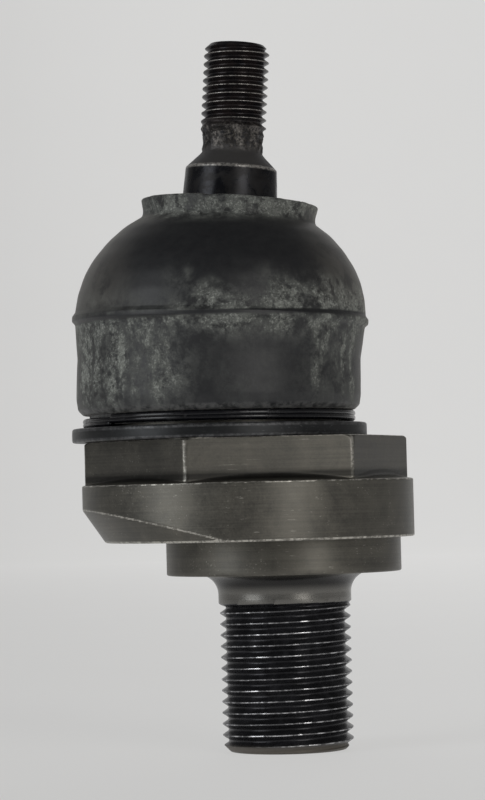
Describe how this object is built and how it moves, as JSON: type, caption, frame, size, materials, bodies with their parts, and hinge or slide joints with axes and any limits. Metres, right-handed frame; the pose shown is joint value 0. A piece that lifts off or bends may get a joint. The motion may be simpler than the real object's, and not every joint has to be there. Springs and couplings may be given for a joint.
{
  "type": "eccentric screw-in ball joint rod end",
  "caption": "Ball stud with a tapered threaded end in a booted socket, on a hexagonal, flanged body with an offset threaded shank.",
  "frame": {"origin": "where the axis of the threaded shank meets the seating plane, the flat underside of the flange", "axes": "+Z along the shank axis, from the shank towards the stud; the socket and flange are offset towards -X; +Y completes a right-handed frame"},
  "size_m": [0.0616, 0.06, 0.1288],
  "materials": {
    "housing_steel": "dark phosphate over machined steel, worn bright on the edges",
    "plate_steel": "black oxide, satin",
    "spring_steel": "satin",
    "race_plastic": "smooth acetal",
    "retainer_steel": "black oxide, satin",
    "boot_rubber": "matte, dusty",
    "clamp_wire": "glossy black",
    "lip_ring_steel": "satin",
    "stud_steel": "black oxide, greasy"
  },
  "bodies": {
    "housing": {"housing": "housing_steel", "lock_plate": "plate_steel", "preload_spring": "spring_steel", "spring_plate": "spring_steel", "lower_race": "race_plastic", "upper_race": "race_plastic", "preload_shim": "spring_steel", "retainer_ring": "retainer_steel", "retainer_lock_ring": "retainer_steel"},
    "boot": {"dust_boot": "boot_rubber", "boot_clamp_ring": "clamp_wire"},
    "boot_lip": {"boot_lip_ring": "lip_ring_steel"},
    "stud": {"ball_stud": "stud_steel"}
  },
  "joints": [
    {"name": "lean_direction", "type": "hinge", "parent": "housing", "child": "boot", "pos_m": [-0.0112, 0, 0.0213], "axis": [0, 0, 1], "continuous": true},
    {"name": "stud_lean", "type": "hinge", "parent": "boot", "child": "boot_lip", "pos_m": [-0.0112, 0, 0.0213], "axis": [0, 1, 0], "range_deg": [-29.2, 20.8], "deforming": ["dust_boot"]},
    {"name": "stud_spin", "type": "hinge", "parent": "boot_lip", "child": "stud", "pos_m": [-0.0112, 0, 0.0213], "axis": [0.0732, 0, 0.9973], "continuous": true}
  ]
}
